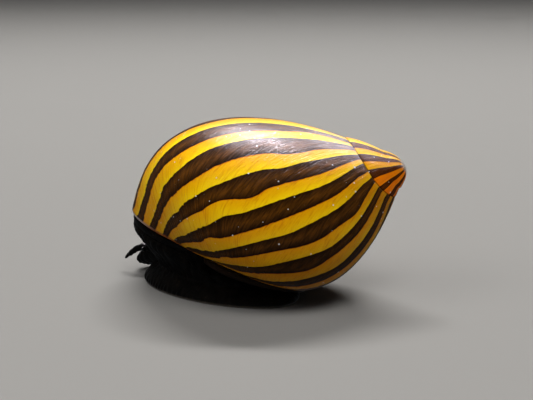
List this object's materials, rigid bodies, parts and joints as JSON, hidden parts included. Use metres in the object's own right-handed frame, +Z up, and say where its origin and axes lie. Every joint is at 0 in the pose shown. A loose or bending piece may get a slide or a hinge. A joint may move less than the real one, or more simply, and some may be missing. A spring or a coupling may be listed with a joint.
{
  "type": "nerite snail",
  "caption": "Life-size nerite snail resting on its broad sole: domed banded shell with a low spire, dark foot, snout, tentacles and eyes.",
  "frame": {"origin": "middle of the overall box in plan, on the floor under the sole", "axes": "+X from the mouth of the shell to its spire, +Y away from the camera of the picture, +Z up; the head points to -X, +Y"},
  "size_m": [0.0274, 0.0242, 0.0168],
  "materials": {
    "shell": "glossy, banded in golden yellow and near-black brown",
    "apex": "worn, dull and pale",
    "shell_inside": "smooth and pale",
    "flesh": "moist and near black",
    "operculum": "satin, limy",
    "eye": "glossy black"
  },
  "bodies": {
    "root": {"shell_body_whorl": "shell", "shell_spire": "shell", "shell_apex": "apex", "shell_outer_lip": "shell", "shell_columella_deck": "shell_inside", "mantle_edge": "flesh", "snout": "flesh", "head": "flesh", "neck": "flesh", "stalk": "flesh", "foot_front": "flesh", "foot_middle": "flesh", "foot_tail": "flesh", "operculum": "operculum", "tentacle_left_base": "flesh", "tentacle_left_tip": "flesh", "tentacle_right_base": "flesh", "tentacle_right_tip": "flesh", "eyestalk_left": "flesh", "eyestalk_right": "flesh", "eye_left": "eye", "eye_right": "eye"}
  },
  "joints": []
}
